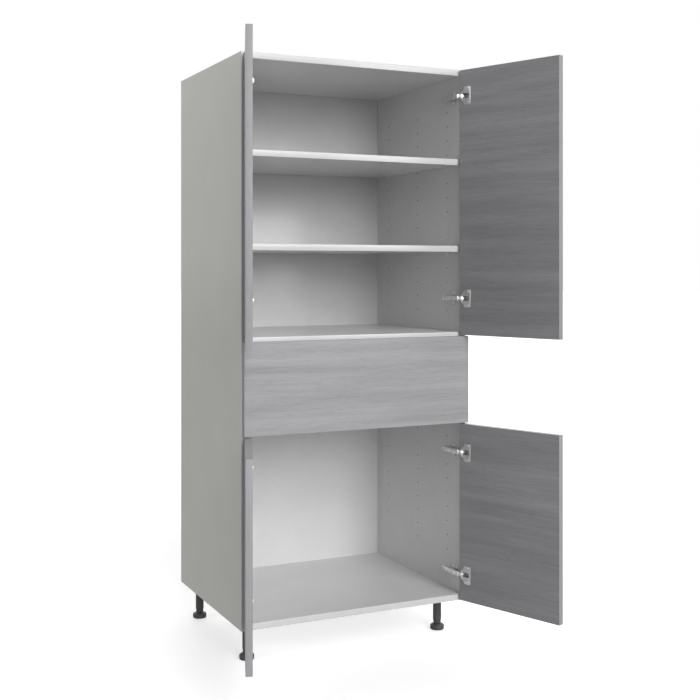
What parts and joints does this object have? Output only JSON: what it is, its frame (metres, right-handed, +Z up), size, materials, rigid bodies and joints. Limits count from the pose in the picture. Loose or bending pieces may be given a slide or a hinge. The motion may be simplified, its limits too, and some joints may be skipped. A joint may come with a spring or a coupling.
{
  "type": "pantry cabinet",
  "caption": "Tall frameless pantry cabinet with slab doors on concealed cup hinges, a drawer, a fixed deck, adjustable shelves and levelling legs.",
  "frame": {"origin": "on the floor, below the centre of the box that the cabinet fills with its doors open", "axes": "+X to the viewer's right, +Y from the doors towards the back, +Z up"},
  "size_m": [1.0014, 0.9529, 1.8098],
  "materials": {
    "carcass_melamine": "fine-textured white-grey melamine on board",
    "front_laminate": "grey horizontal wood grain laminate, matt",
    "hinge_nickel": "bright nickel plate",
    "drawer_steel": "grey powder coat",
    "leg_plastic": "black moulded plastic"
  },
  "bodies": {
    "carcass": {"left_side_panel": "carcass_melamine", "right_side_panel": "carcass_melamine", "top_panel": "carcass_melamine", "bottom_panel": "carcass_melamine", "back_panel": "carcass_melamine", "drawer_deck": "carcass_melamine", "lower_shelf": "carcass_melamine", "upper_shelf": "carcass_melamine", "left_drawer_rail": "drawer_steel", "right_drawer_rail": "drawer_steel", "front_left_leg": "leg_plastic", "rear_left_leg": "leg_plastic", "front_right_leg": "leg_plastic", "rear_right_leg": "leg_plastic", "upper_left_hinge_1_arm": "hinge_nickel", "upper_left_hinge_2_arm": "hinge_nickel", "upper_right_hinge_1_arm": "hinge_nickel", "upper_right_hinge_2_arm": "hinge_nickel", "lower_left_hinge_1_arm": "hinge_nickel", "lower_left_hinge_2_arm": "hinge_nickel", "lower_right_hinge_1_arm": "hinge_nickel", "lower_right_hinge_2_arm": "hinge_nickel"},
    "upper_left_outer_links": {"upper_left_hinge_1_outer_link": "hinge_nickel", "upper_left_hinge_2_outer_link": "hinge_nickel"},
    "upper_left_inner_links": {"upper_left_hinge_1_inner_link": "hinge_nickel", "upper_left_hinge_2_inner_link": "hinge_nickel"},
    "upper_left_door": {"upper_left_door": "front_laminate", "upper_left_hinge_1_cup": "hinge_nickel", "upper_left_hinge_2_cup": "hinge_nickel"},
    "upper_right_outer_links": {"upper_right_hinge_1_outer_link": "hinge_nickel", "upper_right_hinge_2_outer_link": "hinge_nickel"},
    "upper_right_inner_links": {"upper_right_hinge_1_inner_link": "hinge_nickel", "upper_right_hinge_2_inner_link": "hinge_nickel"},
    "upper_right_door": {"upper_right_door": "front_laminate", "upper_right_hinge_1_cup": "hinge_nickel", "upper_right_hinge_2_cup": "hinge_nickel"},
    "lower_left_outer_links": {"lower_left_hinge_1_outer_link": "hinge_nickel", "lower_left_hinge_2_outer_link": "hinge_nickel"},
    "lower_left_inner_links": {"lower_left_hinge_1_inner_link": "hinge_nickel", "lower_left_hinge_2_inner_link": "hinge_nickel"},
    "lower_left_door": {"lower_left_door": "front_laminate", "lower_left_hinge_1_cup": "hinge_nickel", "lower_left_hinge_2_cup": "hinge_nickel"},
    "lower_right_outer_links": {"lower_right_hinge_1_outer_link": "hinge_nickel", "lower_right_hinge_2_outer_link": "hinge_nickel"},
    "lower_right_inner_links": {"lower_right_hinge_1_inner_link": "hinge_nickel", "lower_right_hinge_2_inner_link": "hinge_nickel"},
    "lower_right_door": {"lower_right_door": "front_laminate", "lower_right_hinge_1_cup": "hinge_nickel", "lower_right_hinge_2_cup": "hinge_nickel"},
    "drawer": {"drawer_front": "front_laminate", "drawer_left_side": "drawer_steel", "drawer_right_side": "drawer_steel", "drawer_back": "carcass_melamine", "drawer_bottom": "carcass_melamine"},
    "front_left_foot": {"front_left_foot": "leg_plastic"},
    "rear_left_foot": {"rear_left_foot": "leg_plastic"},
    "front_right_foot": {"front_right_foot": "leg_plastic"},
    "rear_right_foot": {"rear_right_foot": "leg_plastic"}
  },
  "joints": [
    {"name": "upper_left_door_swing", "type": "hinge", "parent": "upper_left_outer_links", "child": "upper_left_door", "pos_m": [-0.3602, -0.13018, 1.40205], "axis": [0, 0, 1], "range_deg": [0, 151.25]},
    {"name": "upper_left_outer_link_turn", "type": "hinge", "parent": "carcass", "child": "upper_left_outer_links", "pos_m": [-0.34992, -0.11206, 1.40205], "axis": [0, 0, -1], "range_deg": [0, 41.27]},
    {"name": "upper_left_inner_link_turn", "type": "hinge", "parent": "carcass", "child": "upper_left_inner_links", "pos_m": [-0.3476, -0.12031, 1.40205], "axis": [0, 0, -1], "range_deg": [0, 16.2]},
    {"name": "upper_right_door_swing", "type": "hinge", "parent": "upper_right_outer_links", "child": "upper_right_door", "pos_m": [0.3602, -0.13018, 1.40205], "axis": [0, 0, -1], "range_deg": [0, 151.25]},
    {"name": "upper_right_outer_link_turn", "type": "hinge", "parent": "carcass", "child": "upper_right_outer_links", "pos_m": [0.34992, -0.11206, 1.40205], "axis": [0, 0, 1], "range_deg": [0, 41.27]},
    {"name": "upper_right_inner_link_turn", "type": "hinge", "parent": "carcass", "child": "upper_right_inner_links", "pos_m": [0.3476, -0.12031, 1.40205], "axis": [0, 0, 1], "range_deg": [0, 16.2]},
    {"name": "lower_left_door_swing", "type": "hinge", "parent": "lower_left_outer_links", "child": "lower_left_door", "pos_m": [-0.3602, -0.13018, 0.3948], "axis": [0, 0, 1], "range_deg": [0, 151.25]},
    {"name": "lower_left_outer_link_turn", "type": "hinge", "parent": "carcass", "child": "lower_left_outer_links", "pos_m": [-0.34992, -0.11206, 0.3948], "axis": [0, 0, -1], "range_deg": [0, 41.27]},
    {"name": "lower_left_inner_link_turn", "type": "hinge", "parent": "carcass", "child": "lower_left_inner_links", "pos_m": [-0.3476, -0.12031, 0.3948], "axis": [0, 0, -1], "range_deg": [0, 16.2]},
    {"name": "lower_right_door_swing", "type": "hinge", "parent": "lower_right_outer_links", "child": "lower_right_door", "pos_m": [0.3602, -0.13018, 0.3948], "axis": [0, 0, -1], "range_deg": [0, 151.25]},
    {"name": "lower_right_outer_link_turn", "type": "hinge", "parent": "carcass", "child": "lower_right_outer_links", "pos_m": [0.34992, -0.11206, 0.3948], "axis": [0, 0, 1], "range_deg": [0, 41.27]},
    {"name": "lower_right_inner_link_turn", "type": "hinge", "parent": "carcass", "child": "lower_right_inner_links", "pos_m": [0.3476, -0.12031, 0.3948], "axis": [0, 0, 1], "range_deg": [0, 16.2]},
    {"name": "drawer_slide", "type": "slide", "parent": "carcass", "child": "drawer", "axis": [0, -1, 0], "range_m": [0, 0.4]},
    {"name": "front_left_foot_turn", "type": "hinge", "parent": "carcass", "child": "front_left_foot", "pos_m": [-0.33, -0.02091, 0.03], "axis": [0, 0, 1], "continuous": true},
    {"name": "rear_left_foot_turn", "type": "hinge", "parent": "carcass", "child": "rear_left_foot", "pos_m": [-0.33, 0.43109, 0.03], "axis": [0, 0, 1], "continuous": true},
    {"name": "front_right_foot_turn", "type": "hinge", "parent": "carcass", "child": "front_right_foot", "pos_m": [0.33, -0.02091, 0.03], "axis": [0, 0, 1], "continuous": true},
    {"name": "rear_right_foot_turn", "type": "hinge", "parent": "carcass", "child": "rear_right_foot", "pos_m": [0.33, 0.43109, 0.03], "axis": [0, 0, 1], "continuous": true}
  ],
  "couplings": [
    {"joint": "upper_left_outer_link_turn", "follows": "upper_left_door_swing", "ratio": 0.27272},
    {"joint": "upper_left_inner_link_turn", "follows": "upper_left_door_swing", "ratio": 0.10697},
    {"joint": "upper_right_outer_link_turn", "follows": "upper_right_door_swing", "ratio": 0.27272},
    {"joint": "upper_right_inner_link_turn", "follows": "upper_right_door_swing", "ratio": 0.10697},
    {"joint": "lower_left_outer_link_turn", "follows": "lower_left_door_swing", "ratio": 0.27272},
    {"joint": "lower_left_inner_link_turn", "follows": "lower_left_door_swing", "ratio": 0.10697},
    {"joint": "lower_right_outer_link_turn", "follows": "lower_right_door_swing", "ratio": 0.27272},
    {"joint": "lower_right_inner_link_turn", "follows": "lower_right_door_swing", "ratio": 0.10697}
  ]
}
